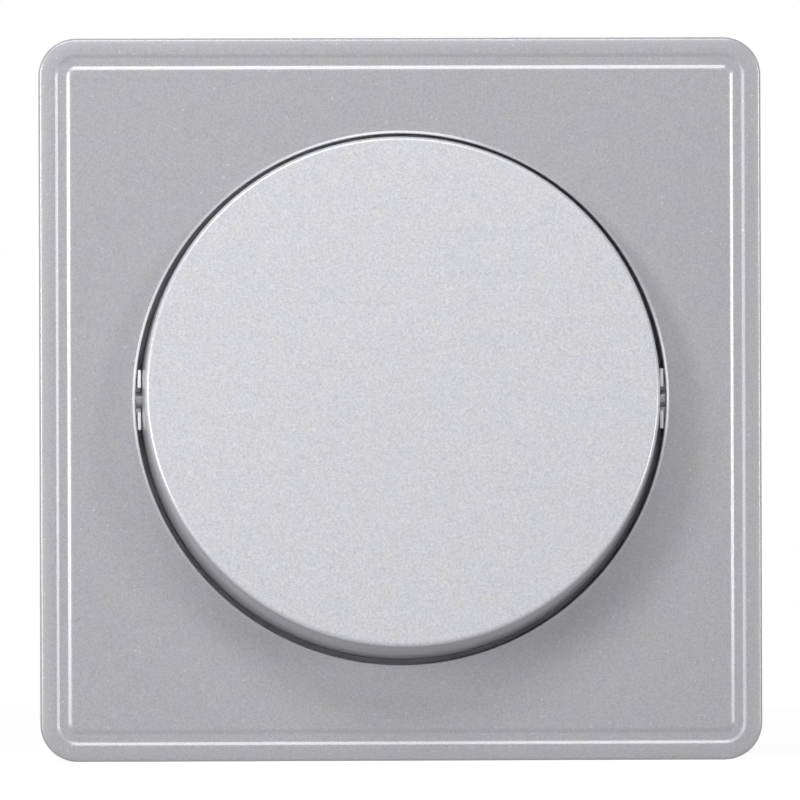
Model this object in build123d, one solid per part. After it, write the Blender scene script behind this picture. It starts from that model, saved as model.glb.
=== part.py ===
from build123d import *
import os
from math import cos, radians, sin, tan

# Surface-mounted light switch with a round rocker in a square cover frame.
# Every piece is drawn lying on its back: x to the right, y up the wall, z out of the wall.
# The origin is the middle of the face that lies on the wall.
# stand_up turns each finished piece upright, so that the front faces -Y and up is +Z.

# Surface box
box_depth = 35.0
box_wall = 2.0
box_back = 2.0
box_corner_radius = 4.0
box_back_chamfer = 0.8
boss_ring_gap = 1.4
boss_radius = 3.6
boss_web = 1.4
boss_hole_depth = 13.0
back_rib = 1.2
back_rib_height = 1.5
wall_slot_spacing = 60.0
wall_slot_width = 4.5
wall_slot_length = 9.0
wall_slot_rim = 1.5
wall_slot_rim_height = 0.5
entry_height = 12.5
entry_radius = 8.0

# Rubber grommets in the two cable entries
grommet_lip = 1.5
grommet_outer_thickness = 1.1
grommet_inner_thickness = 1.2
grommet_bore_radius = 4.0
grommet_membrane = 0.8
grommet_clearance = 0.05

# Steel support plate and its screws
plate_box_gap = 2.6
plate_thickness = 1.0
plate_corner_radius = 3.0
plate_window_wall = 1.2
plate_window_radius = 2.0
plate_flange_length = 3.0
plate_flange_width = 40.0
plate_screw_radius = 1.5
plate_screw_length = 11.0
plate_screw_head_radius = 2.8
plate_screw_head_height = 1.8
plate_screw_turns = (20, 65, 110, 155)
plate_slot_length = 6.0
screw_clearance = 0.05
hole_clearance = 0.25

# Cover frame
frame_side = 80.0
frame_corner_radius = 4.1
frame_front_above_plate = 10.0
frame_overlap = 2.0
frame_draft = 3.5
frame_edge_radius = 0.45
frame_panel_thickness = 2.0
frame_past_box = 2.4
frame_over_box = 0.3
rim_width = 1.8
rim_fall = 0.1
channel_outer_slope = 0.35
channel_floor = 0.95
channel_inner_slope = 0.4
channel_depth = 0.5
panel_corner_radius = 0.9
opening_margin = 10.65
opening_edge_radius = 0.33
collar_wall = 1.5
collar_depth = 3.5
hook_angles = (22.0, 158.0, 202.0, 338.0)
hook_width = 7.0
hook_wall = 1.2
hook_bite = 0.8
hook_clearance = 0.25
hook_tip_height = 1.2
corner_rib = 1.0
corner_rib_height = 3.0
corner_rib_length = 14.0

# Rocker cap and its trunnions
rocker_tilt = 8.0
axis_below_front = 2.2
face_above_axis = 6.7
rocker_gap = 0.48
face_inset = 0.67
skirt_inset = 0.17
skirt_below_axis = 3.0
rocker_wall = 1.5
face_thickness = 1.6
face_edge_radius = 0.55
pin_radius = 1.0
pin_chamfer = 0.2
pin_end_clearance = 0.7
pin_flat_inset = 0.27
pin_pad_radius = 2.6
pin_pad_depth = 2.0
sleeve_radius = 4.0
sleeve_below_axis = 8.0
sleeve_roof = 0.5
rib_thickness = 1.0
rib_height = 3.4
rib_angles = (45.0, 135.0, 225.0, 315.0)
ring_rib_radius = 16.0
ring_rib_height = 1.6

# White bearing clips and the ring that carries them
running_clearance = 0.05
clip_half_width = 3.35
clip_face_clearance = 0.12
clip_lip_thickness = 0.4
clip_length = 2.88
clip_below_axis = 3.2
clip_lip_below_front = 0.8
clip_body_below_front = 1.25
clip_neck = 0.9
clip_mouth = 1.35
clip_neck_height = 0.55
clip_seat_clearance = 0.05
notch_roof_below_front = 0.95
notch_clearance = 0.3
notch_end_clearance = 0.55
ring_clearance = 0.45
ring_wall = 2.7
post_half_width = 4.3
post_setback = 0.68
peg_angles = (65.0, 115.0, 245.0, 295.0)
peg_radius = 1.2

# Plunger and its spring
plunger_radius = 2.5
plunger_top_below_axis = 3.2
plunger_nose_radius = 1.2
plunger_nose_length = 2.6
plunger_nose_angle = 35.0
plunger_gap = 0.2
spigot_radius = 1.3
spigot_height = 1.5
spring_wire = 0.5
spring_wire_sides = 8
spring_radius = 2.0
spring_turns = 6.0
spring_gap = 0.03

# Contact seesaw on its fulcrum
pivot_below_axis = 15.5
seesaw_tilt = 10.0
seesaw_arm = 10.5
seesaw_width = 5.0
seesaw_thickness = 1.2
seesaw_angle = 14.0
seesaw_above_pivot = 0.1
fulcrum_radius = 0.6
fulcrum_width = 4.0
contact_reach = 9.0
contact_radius = 1.6
contact_height = 0.9
contact_chamfer = 0.3
contact_shank_radius = 0.8
contact_shank_clearance = 0.03
contact_gap = 0.15
contact_rivet_head = 0.3
contact_rivet_radius = 1.2

# Insert base, its cover and its terminals
insert_side = 42.0
insert_depth = 22.0
insert_corner_radius = 3.0
well_half_width = 7.5
well_screw_wall = 1.7
well_floor_below_pivot = 6.0
strip_thickness = 1.0
strip_width = 5.0
strip_clearance = 0.1
chamber_height = 8.0
chamber_width = 8.0
chamber_depth = 8.0
chamber_roof = 2.0
tab_height = 7.0
terminal_screw_radius = 1.75
terminal_screw_head_radius = 3.0
terminal_screw_head_height = 1.6
terminal_screw_inset = 0.6
terminal_screw_past_tab = 0.8
clamp_side = 7.0
clamp_thickness = 1.0
wire_hole_radius = 1.7
cover_width = 34.0
cover_height = 40.0
cover_thickness = 2.0
cover_chamfer = 0.5
cover_corner_radius = 5.0
cover_opening_radius = 5.9
cover_collar_wall = 1.5
cover_collar_height = 1.2
cover_spigot_clearance = 0.2
cover_screw_inset = 2.5
cover_screw_radius = 1.3
cover_screw_head_radius = 2.4
cover_screw_head_height = 1.4
cover_screw_hole_depth = 10.0
cover_screw_end_gap = 1.0
cover_screw_turns = (35, 80)

# Screw recesses
slot_width = 0.8
slot_depth = 0.7

# Levels and reaches that follow from the sizes above
box_side = frame_side - 2 * frame_past_box
plate_side = box_side - 2 * plate_box_gap
opening_radius = frame_side / 2 - opening_margin
box_half = box_side / 2
box_inner = box_half - box_wall
plate_back = box_depth
plate_front = plate_back + plate_thickness
frame_front = plate_front + frame_front_above_plate
frame_back = box_depth - frame_overlap
panel_back = frame_front - frame_panel_thickness
axis_level = frame_front - axis_below_front
pivot_level = axis_level - pivot_below_axis
well_floor = pivot_level - well_floor_below_pivot
insert_back = plate_back - insert_depth
collar_radius = opening_radius + collar_wall
ring_inner_radius = collar_radius + ring_clearance
ring_outer_radius = ring_inner_radius + ring_wall
hook_inner_radius = ring_outer_radius + hook_clearance
boss_reach = (ring_outer_radius + boss_ring_gap + plate_screw_head_radius) * cos(radians(45))
rocker_radius = opening_radius - rocker_gap
face_radius = rocker_radius - face_inset
skirt_radius = rocker_radius - skirt_inset
pin_flat = rocker_radius - pin_flat_inset
clip_inner_face = pin_flat + clip_face_clearance
clip_outer_face = clip_inner_face + clip_length
pin_reach = clip_outer_face - pin_end_clearance
post_inner_face = clip_inner_face + post_setback
notch_reach = ring_outer_radius - ring_wall / 2 + notch_end_clearance
cover_screw_reach = cover_height / 2 - cover_screw_inset
well_half_height = cover_screw_reach - cover_screw_radius - well_screw_wall
plate_window = 2 * (cover_screw_reach - cover_screw_radius - plate_window_wall)
seesaw_top = seesaw_above_pivot + seesaw_thickness
plunger_tip_below_axis = pivot_below_axis - seesaw_top - plunger_gap
pocket_radius = plunger_radius + running_clearance

overlap = 0.5
beyond = 100.0


def stand_up(piece):
    """Turn a piece drawn on its back upright against the wall."""
    return Rot(90, 0, 0) * piece


def save(piece, node):
    """Write one piece, upright, to its own STEP file."""
    export_step(stand_up(piece), "parts/" + node + ".step")


def rounded_block(width, height, radius, low, high):
    """A block with rounded upright edges between two levels."""
    outline = Plane.XY.offset(low) * RectangleRounded(width, height, radius)
    return extrude(outline, high - low)


def post(x, y, radius, low, high):
    """An upright cylinder at a place in plan between two levels."""
    return Pos(x, y, low) * extrude(Circle(radius), high - low)


def block(x_low, x_high, y_low, y_high, z_low, z_high):
    """A block between two corners."""
    middle = Pos((x_low + x_high) / 2, (y_low + y_high) / 2, (z_low + z_high) / 2)
    return middle * Box(x_high - x_low, y_high - y_low, z_high - z_low)


def four_corners(reach):
    """The four places at an equal reach in x and y."""
    return [(reach * sx, reach * sy) for sx in (-1, 1) for sy in (-1, 1)]


def polar(radius, angle):
    """The place at a radius and an angle in degrees."""
    return radius * cos(radians(angle)), radius * sin(radians(angle))


def slotted_screw(radius, length, head_radius, head_height):
    """A pan head screw on the z axis with its head seated at level zero."""
    shank = extrude(Circle(radius), -length)
    shank = chamfer(shank.edges().sort_by(Axis.Z)[0], radius / 3)
    head = extrude(Circle(head_radius), head_height)
    head = chamfer(head.edges().sort_by(Axis.Z)[-1], head_height / 3)
    recess = block(-beyond, beyond, -slot_width / 2, slot_width / 2, head_height - slot_depth, beyond)
    return shank + (head - recess)


def wall_slot(x, y, width, length, low, high):
    """An upright slot, longer along y, between two levels."""
    outline = Pos(x, y, low) * Rot(0, 0, 90) * SlotOverall(length, width)
    return extrude(outline, high - low)


def surface_box():
    """The box on the wall, open at the front, with screw bosses and cable entries."""
    body = rounded_block(box_side, box_side, box_corner_radius, 0, box_depth)
    body = chamfer(body.edges().group_by(Axis.Z)[0], box_back_chamfer)
    inner_side = 2 * box_inner
    inner_radius = box_corner_radius - box_wall
    body -= rounded_block(inner_side, inner_side, inner_radius, box_back, box_depth + overlap)
    for x, y in four_corners(boss_reach):
        sx = 1 if x > 0 else -1
        sy = 1 if y > 0 else -1
        boss = post(x, y, boss_radius, box_back - overlap, box_depth)
        to_side = block(min(x, sx * (box_inner + overlap)), max(x, sx * (box_inner + overlap)),
                        y - boss_web / 2, y + boss_web / 2, box_back - overlap, box_depth)
        to_top = block(x - boss_web / 2, x + boss_web / 2,
                       min(y, sy * (box_inner + overlap)), max(y, sy * (box_inner + overlap)),
                       box_back - overlap, box_depth)
        body += boss + to_side + to_top
        body -= post(x, y, plate_screw_radius + screw_clearance, box_depth - boss_hole_depth,
                     box_depth + overlap)
    for side in (-1, 1):
        rib_reach = side * boss_reach
        body += block(rib_reach - back_rib / 2, rib_reach + back_rib / 2, -boss_reach, boss_reach,
                      box_back - overlap, box_back + back_rib_height)
        slot_y = side * wall_slot_spacing / 2
        body += wall_slot(0, slot_y, wall_slot_width + 2 * wall_slot_rim,
                          wall_slot_length + 2 * wall_slot_rim, box_back - overlap,
                          box_back + wall_slot_rim_height)
        body -= wall_slot(0, slot_y, wall_slot_width, wall_slot_length, -overlap,
                          box_back + wall_slot_rim_height + overlap)
        entry = Pos(0, side * box_half, entry_height) * Rot(90, 0, 0) * Cylinder(entry_radius, 4 * box_wall)
        body -= entry
    return body


def grommet(side, opened):
    """A rubber grommet gripping the wall of a cable entry, with a bore or a closed membrane."""
    neck = entry_radius - grommet_clearance
    flange = entry_radius + grommet_lip
    inside = -box_wall - grommet_inner_thickness - grommet_clearance
    outside = grommet_outer_thickness
    profile = Polyline(
        (0, inside),
        (flange, inside),
        (flange - grommet_inner_thickness / 2, -box_wall - grommet_clearance),
        (neck, -box_wall - grommet_clearance),
        (neck, 0),
        (flange, 0),
        (flange - grommet_outer_thickness / 2, outside),
        (0, outside),
        close=True,
    )
    body = revolve(Plane.XZ * make_face(profile), Axis.Z)
    if opened:
        body -= Cylinder(grommet_bore_radius, beyond)
    else:
        hollow = outside - grommet_membrane - inside
        body -= Pos(0, 0, inside + hollow / 2) * Cylinder(grommet_bore_radius, hollow)
    body = Rot(-90 * side, 0, 0) * body
    return Pos(0, side * box_half, entry_height) * body


def support_plate():
    """The stamped steel plate that joins the insert, the bearing ring and the box."""
    plate = rounded_block(plate_side, plate_side, plate_corner_radius, plate_back, plate_front)
    plate -= rounded_block(plate_window, plate_window, plate_window_radius,
                           plate_back - overlap, plate_front + overlap)
    slot_half = plate_screw_radius + hole_clearance
    for x, y in four_corners(boss_reach):
        outline = Pos(x, y, plate_back - overlap) * SlotOverall(plate_slot_length, 2 * slot_half)
        plate -= extrude(outline, plate_thickness + 2 * overlap)
    for angle in peg_angles:
        x, y = polar(ring_inner_radius + ring_wall / 2, angle)
        plate -= post(x, y, peg_radius + screw_clearance, plate_back - overlap, plate_front + overlap)
    for side in (-1, 1):
        edge = side * plate_side / 2
        inner = edge - side * plate_thickness
        plate += block(-plate_flange_width / 2, plate_flange_width / 2, min(edge, inner),
                       max(edge, inner), plate_back - plate_flange_length, plate_front - overlap)
        outer_bend = plate.edges().filter_by(Axis.X).filter_by(
            lambda e: abs(e.center().Y - edge) < 0.01 and e.center().Z > plate_back
            and e.length < plate_flange_width + 1)
        if outer_bend:
            plate = fillet(outer_bend, plate_thickness / 2)
        plate -= post(0, side * cover_screw_reach, cover_screw_radius + hole_clearance,
                      plate_back - overlap, plate_front + overlap)
    return plate


def plate_screws():
    """The four screws that hold the support plate on the bosses of the box."""
    screw = slotted_screw(plate_screw_radius, plate_screw_length, plate_screw_head_radius,
                          plate_screw_head_height)
    places = four_corners(boss_reach)
    return Compound([Pos(x, y, plate_front) * Rot(0, 0, turn) * screw
                     for (x, y), turn in zip(places, plate_screw_turns)])


def rounded_frustum(side, radius, level, depth, growth):
    """A rounded square that goes down from a level and grows or shrinks on each side."""
    top = Plane.XY.offset(level) * RectangleRounded(side, side, radius)
    low_side = side + 2 * growth
    bottom = Plane.XY.offset(level - depth) * RectangleRounded(low_side, low_side, radius + growth)
    return loft([bottom.face(), top.face()], ruled=True)


def frame_channel():
    """The shallow sloped channel between the rim and the panel of the cover frame."""
    outer_side = frame_side - 2 * rim_width
    outer_radius = frame_corner_radius - rim_width
    inner_side = outer_side - 2 * (channel_outer_slope + channel_floor + channel_inner_slope)
    channel = rounded_frustum(outer_side, outer_radius, frame_front, channel_depth, -channel_outer_slope)
    island = rounded_frustum(inner_side, panel_corner_radius, frame_front, channel_depth,
                             channel_inner_slope)
    return channel - island


def frame_hook(angle):
    """One sprung arm behind the panel that bites under the ledge of the bearing ring."""
    arm_low = plate_front + ring_ledge_height() - hook_tip_height
    arm = block(hook_inner_radius, hook_inner_radius + hook_wall, -hook_width / 2, hook_width / 2,
                arm_low, panel_back + overlap)
    tooth = Polyline(
        (hook_inner_radius + overlap, arm_low),
        (hook_inner_radius, arm_low),
        (hook_inner_radius - hook_bite, arm_low + hook_tip_height - hook_clearance),
        (hook_inner_radius + overlap, arm_low + hook_tip_height - hook_clearance),
        close=True,
    )
    tooth_face = Plane.XZ * make_face(tooth)
    tooth_block = Pos(0, hook_width / 2, 0) * extrude(tooth_face, hook_width, dir=(0, -1, 0))
    return Rot(0, 0, angle) * (arm + tooth_block)


def ring_ledge_height():
    """The height of the ledge under which the frame's hooks bite, above the plate."""
    return 3 * plate_thickness


def cover_frame():
    """The square front frame with its rim, channel, round opening and hooks."""
    depth = frame_front - frame_back
    back_side = frame_side - 2 * depth * tan(radians(frame_draft))
    edge_side = frame_side + 2 * frame_edge_radius * tan(radians(frame_draft))
    edge_level = frame_front - rim_fall
    back = Plane.XY.offset(frame_back) * RectangleRounded(back_side, back_side, frame_corner_radius)
    edge = Plane.XY.offset(edge_level) * RectangleRounded(edge_side, edge_side, frame_corner_radius)
    top_side = frame_side - 2 * rim_width
    top_radius = frame_corner_radius - rim_width
    top = Plane.XY.offset(frame_front) * RectangleRounded(top_side, top_side, top_radius)
    body = loft([back.face(), edge.face(), top.face()], ruled=True)
    outer_edges = body.edges().filter_by(lambda e: abs(e.center().Z - edge_level) < 0.01)
    body = fillet(outer_edges, frame_edge_radius)
    pocket_side = box_side + 2 * frame_over_box
    pocket_corner = box_corner_radius + frame_over_box
    body -= rounded_block(pocket_side, pocket_side, pocket_corner, frame_back - overlap, panel_back)
    body -= frame_channel()
    collar = post(0, 0, collar_radius, panel_back - collar_depth, panel_back + overlap)
    body += collar
    body -= post(0, 0, opening_radius, frame_back, frame_front + overlap)
    opening_edge = body.edges().filter_by(GeomType.CIRCLE).group_by(Axis.Z)[-1]
    opening_edge = opening_edge.filter_by(lambda e: abs(e.radius - opening_radius) < 0.01)
    body = fillet(opening_edge, opening_edge_radius)
    for x, y in four_corners(1):
        corner_x, corner_y = pocket_side / 2 * x, pocket_side / 2 * y
        angle = 45 if x * y > 0 else -45
        rib = Box(corner_rib_length, corner_rib, corner_rib_height + overlap)
        rib_place = Pos(corner_x - x * corner_rib_length / 3, corner_y - y * corner_rib_length / 3,
                        panel_back - corner_rib_height / 2 + overlap / 2)
        body += rib_place * Rot(0, 0, angle) * rib
    for angle in hook_angles:
        body += frame_hook(angle)
    notch_half = post_half_width + notch_clearance
    for side in (-1, 1):
        near, far = side * (rocker_radius - overlap), side * notch_reach
        body -= block(min(near, far), max(near, far), -notch_half, notch_half, frame_back - overlap,
                      frame_front - notch_roof_below_front)
    return body


def bearing_ring():
    """The ring behind the frame that carries both bearing clips of the rocker."""
    ring = post(0, 0, ring_outer_radius, plate_front, panel_back)
    ring -= post(0, 0, ring_inner_radius, plate_front - overlap, panel_back + overlap)
    for angle in hook_angles:
        seat_width = hook_width + 4 * hook_clearance
        seat_inner = hook_inner_radius - hook_bite - hook_clearance
        seat = block(seat_inner, beyond, -seat_width / 2, seat_width / 2, plate_front - overlap,
                     plate_front + ring_ledge_height())
        ring -= Rot(0, 0, angle) * seat
    for side in (-1, 1):
        near, far = side * post_inner_face, side * (ring_outer_radius - ring_wall / 2)
        ring += block(min(near, far), max(near, far), -post_half_width, post_half_width,
                      plate_front, panel_back)
        seat_near = side * (clip_inner_face - overlap)
        seat_far = side * (clip_outer_face + clip_seat_clearance)
        seat_half = clip_half_width + clip_seat_clearance
        ring -= block(min(seat_near, seat_far), max(seat_near, seat_far), -seat_half, seat_half,
                      axis_level - clip_below_axis, panel_back + overlap)
    for angle in peg_angles:
        x, y = polar(ring_inner_radius + ring_wall / 2, angle)
        ring += post(x, y, peg_radius, plate_back, plate_front + overlap)
    return ring


def bearing_clip(side):
    """A white snap bearing with two prongs beside the rocker's pin."""
    low = axis_level - clip_below_axis
    body_top = frame_front - clip_body_below_front
    lip_top = frame_front - clip_lip_below_front
    lip_face = clip_inner_face + clip_lip_thickness
    body = block(lip_face - overlap / 5, clip_outer_face, -clip_half_width, clip_half_width, low, body_top)
    lip = block(clip_inner_face, lip_face, -clip_half_width, clip_half_width, low, lip_top)
    lip_edges = lip.edges().filter_by(Axis.Z).filter_by(lambda e: e.center().X < clip_inner_face + 0.01)
    lip = fillet(lip_edges, clip_lip_thickness / 2)
    clip = lip + body
    clip -= Pos(0, 0, axis_level) * Rot(0, 90, 0) * Cylinder(pin_radius + running_clearance, beyond)
    mouth = Polyline(
        (-clip_neck, axis_level),
        (clip_neck, axis_level),
        (clip_neck, axis_level + clip_neck_height),
        (clip_mouth, lip_top),
        (clip_mouth, lip_top + overlap),
        (-clip_mouth, lip_top + overlap),
        (-clip_mouth, lip_top),
        (-clip_neck, axis_level + clip_neck_height),
        close=True,
    )
    clip -= extrude(Plane.YZ * make_face(mouth), clip_outer_face + overlap)
    return clip if side > 0 else mirror(clip, Plane.YZ)


def rocker_profile():
    """Half of the rocker cap's section, to be turned about its middle."""
    wall = rocker_wall
    outer = Polyline(
        (0, face_above_axis),
        (face_radius, face_above_axis),
        (rocker_radius, 0),
        (skirt_radius, -skirt_below_axis),
        (skirt_radius - wall, -skirt_below_axis),
        (rocker_radius - wall, 0),
        (face_radius - wall, face_above_axis - face_thickness),
        (0, face_above_axis - face_thickness),
        close=True,
    )
    return Plane.XZ * make_face(outer)


def rocker_cap():
    """The round rocker with trunnions, ribs and the sleeve of the plunger, untilted."""
    cap = revolve(rocker_profile(), Axis.Z)
    face_edge = cap.edges().group_by(Axis.Z)[-1]
    cap = fillet(face_edge, face_edge_radius)
    underside = face_above_axis - face_thickness
    inner_radius = rocker_radius - rocker_wall
    for side in (-1, 1):
        near, far = side * (inner_radius - pin_pad_depth), side * (inner_radius + rocker_wall / 2)
        pad = Pos(min(near, far), 0, 0) * Rot(0, 90, 0) * extrude(Circle(pin_pad_radius), abs(far - near))
        cap += pad
    sleeve = post(0, 0, sleeve_radius, -sleeve_below_axis, underside + face_thickness / 2)
    cap += sleeve
    rib_end = face_radius - rocker_wall
    for angle in rib_angles:
        rib = block(sleeve_radius - overlap, rib_end, -rib_thickness / 2, rib_thickness / 2,
                    underside - rib_height, underside + face_thickness / 2)
        cap += Rot(0, 0, angle) * rib
    ring_rib = post(0, 0, ring_rib_radius + rib_thickness / 2, underside - ring_rib_height,
                    underside + face_thickness / 2)
    ring_rib -= post(0, 0, ring_rib_radius - rib_thickness / 2, underside - ring_rib_height - overlap,
                     underside + face_thickness)
    cap += ring_rib
    cap -= post(0, 0, pocket_radius, -sleeve_below_axis - overlap, underside - sleeve_roof)
    for side in (-1, 1):
        flat_near, flat_far = side * pin_flat, side * beyond
        cap -= block(min(flat_near, flat_far), max(flat_near, flat_far), -beyond, beyond, -beyond, beyond)
    for side in (-1, 1):
        pin = extrude(Circle(pin_radius), pin_reach - pin_flat + overlap)
        pin = chamfer(pin.edges().sort_by(Axis.Z)[-1], pin_chamfer)
        pin = Pos(side * (pin_flat - overlap), 0, 0) * Rot(0, side * 90, 0) * pin
        cap += pin
    return cap


def plunger():
    """The sliding plunger with a spigot for its spring and a rounded nose, untilted."""
    nose_low = -plunger_tip_below_axis
    nose_middle = nose_low + plunger_nose_radius
    shoulder = nose_low + plunger_nose_length
    top = -plunger_top_below_axis
    taper_angle = radians(plunger_nose_angle)
    touch_x = plunger_nose_radius * cos(taper_angle)
    touch_z = nose_middle - plunger_nose_radius * sin(taper_angle)
    arc = RadiusArc((0, nose_low), (touch_x, touch_z), -plunger_nose_radius)
    outline = Polyline(
        (touch_x, touch_z),
        (plunger_radius, shoulder),
        (plunger_radius, top),
        (spigot_radius, top),
        (spigot_radius, top + spigot_height),
        (0, top + spigot_height),
        (0, nose_low),
    )
    section = Plane.XZ * make_face([*arc.edges(), *outline.edges()])
    return revolve(section, Axis.Z)


def plunger_spring():
    """The coil spring between the plunger's shoulder and the roof of the sleeve, untilted."""
    low = -plunger_top_below_axis + spring_wire / 2 + spring_gap
    roof = face_above_axis - face_thickness - sleeve_roof
    high = roof - spring_wire / 2 - spring_gap
    coil_radius = spring_radius
    pitch = (high - low) / spring_turns
    path = Pos(0, 0, low) * Helix(pitch, high - low, coil_radius)
    section = Plane(origin=path @ 0, z_dir=path % 0) * RegularPolygon(spring_wire / 2, spring_wire_sides)
    return sweep(section, path, is_frenet=True)


def seesaw_line(level):
    """Points of a V line whose arms rise outwards from a level on the middle."""
    rise = tan(radians(seesaw_angle)) * seesaw_arm
    return [(-seesaw_arm, level + rise), (0, level), (seesaw_arm, level + rise)]


def contact_rocker():
    """The V-shaped brass seesaw that joins the common terminal to a fixed contact, untilted."""
    lower = seesaw_line(seesaw_above_pivot)
    upper = seesaw_line(seesaw_top)
    profile = Polyline(*lower, *reversed(upper), close=True)
    body = extrude(Plane.YZ * make_face(profile), seesaw_width / 2, both=True)
    ends = body.edges().filter_by(lambda e: abs(abs(e.center().Y) - seesaw_arm) < 0.01
                                  and abs(e.center().X) > seesaw_width / 2 - 0.01)
    body = fillet(ends, seesaw_width / 5)
    body -= Rot(0, 90, 0) * Cylinder(fulcrum_radius + running_clearance, beyond)
    for side in (-1, 1):
        body -= contact_place(side) * Cylinder(contact_shank_radius + contact_shank_clearance,
                                               4 * seesaw_thickness)
    return body


def contact_place(side):
    """Where a moving contact sits on the underside of the seesaw, square to its arm."""
    height = seesaw_above_pivot + contact_reach * tan(radians(seesaw_angle))
    return Pos(0, side * contact_reach, height) * Rot(side * seesaw_angle, 0, 0)


def moving_contact(side):
    """A silver contact riveted through one arm of the seesaw, untilted."""
    face = extrude(Circle(contact_radius), -contact_height)
    face = chamfer(face.edges().sort_by(Axis.Z)[0], contact_chamfer)
    shank = extrude(Circle(contact_shank_radius), seesaw_thickness)
    head_low = Pos(0, 0, seesaw_thickness)
    head = head_low * extrude(Circle(contact_rivet_radius), contact_rivet_head)
    return contact_place(side) * (face + shank + head)


def fixed_contact_level():
    """The level of the top of the fixed contacts, just under the closed moving contact."""
    slope = radians(seesaw_angle - seesaw_tilt)
    arm = contact_reach / cos(radians(seesaw_angle))
    closed = seesaw_above_pivot * cos(radians(seesaw_tilt)) + arm * sin(slope)
    drop = contact_height * cos(slope) + contact_radius * sin(slope)
    return pivot_level + closed - drop - contact_gap


def fixed_contact(side):
    """A silver contact riveted through the strip of a fixed terminal."""
    top = fixed_contact_level()
    strip_top = top - contact_height
    face = extrude(Circle(contact_radius), contact_height)
    face = chamfer(face.edges().sort_by(Axis.Z)[-1], contact_chamfer)
    shank = extrude(Circle(contact_shank_radius), -strip_thickness)
    return Pos(0, side * contact_reach, strip_top) * (face + shank)


def terminal_tab(side):
    """Where a strip turns down into its chamber: near and far face of the tab along x."""
    near = side * (insert_side / 2 - chamber_depth + strip_clearance)
    return near, near + side * strip_thickness


def tab_screw_level(strip_top):
    """The level of a terminal screw's axis, the middle of the tab."""
    return strip_top - strip_thickness - tab_height / 2


def tab_with_hole(side, y, strip_top):
    """The tab of a strip in its chamber, pierced for the terminal screw."""
    near, far = terminal_tab(side)
    tab = block(min(near, far), max(near, far), y - strip_width / 2 - strip_thickness,
                y + strip_width / 2 + strip_thickness, strip_top - strip_thickness - tab_height, strip_top)
    hole = Pos(near, y, tab_screw_level(strip_top)) * Rot(0, 90, 0)
    return tab - hole * Cylinder(terminal_screw_radius + screw_clearance, 6 * strip_thickness)


def common_terminal():
    """The strip with the fulcrum on which the contact seesaw rocks."""
    strip_top = well_floor + strip_thickness
    near, far = terminal_tab(1)
    strip = block(-fulcrum_width / 2, max(near, far), -strip_width / 2, strip_width / 2, well_floor,
                  strip_top)
    upright = block(-fulcrum_width / 2, fulcrum_width / 2, -fulcrum_radius, fulcrum_radius,
                    strip_top - overlap, pivot_level)
    edge = Pos(0, 0, pivot_level) * Rot(0, 90, 0) * Cylinder(fulcrum_radius, fulcrum_width)
    return strip + upright + edge + tab_with_hole(1, 0, strip_top)


def contact_terminal(side):
    """The strip under one end of the seesaw, with the hole of its fixed contact."""
    strip_top = fixed_contact_level() - contact_height
    y = side * contact_reach
    near, far = terminal_tab(-1)
    strip = block(min(near, far), strip_width / 2, y - strip_width / 2, y + strip_width / 2,
                  strip_top - strip_thickness, strip_top)
    strip -= post(0, y, contact_shank_radius + contact_shank_clearance, strip_top - 2 * strip_thickness,
                  strip_top + overlap)
    return strip + tab_with_hole(-1, y, strip_top)


def terminals():
    """Side, place up the wall and strip level of the three terminals."""
    fixed_top = fixed_contact_level() - contact_height
    return [(1, 0, well_floor + strip_thickness), (-1, contact_reach, fixed_top),
            (-1, -contact_reach, fixed_top)]


def screw_seat():
    """How far from the middle a terminal screw's head bears on its clamp plate."""
    return insert_side / 2 - terminal_screw_inset - terminal_screw_head_height


def terminal_screws():
    """The three screws of the wire terminals."""
    near, far = terminal_tab(1)
    length = screw_seat() - near + terminal_screw_past_tab
    screw = slotted_screw(terminal_screw_radius, length, terminal_screw_head_radius,
                          terminal_screw_head_height)
    return Compound([Pos(side * screw_seat(), y, tab_screw_level(top)) * Rot(0, side * 90, 0) * screw
                     for side, y, top in terminals()])


def clamp_plates():
    """The three square plates that press the wires against the terminal tabs."""
    pieces = []
    for side, y, top in terminals():
        low, high = screw_seat() - clamp_thickness, screw_seat()
        level = tab_screw_level(top)
        half = clamp_side / 2
        plate = block(min(side * low, side * high), max(side * low, side * high), y - half, y + half,
                      level - half, level + half)
        plate = fillet(plate.edges().filter_by(Axis.X), clamp_side / 7)
        hole = Pos(side * low, y, level) * Rot(0, 90, 0)
        pieces.append(plate - hole * Cylinder(terminal_screw_radius + screw_clearance, 6 * clamp_thickness))
    return Compound(pieces)


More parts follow.
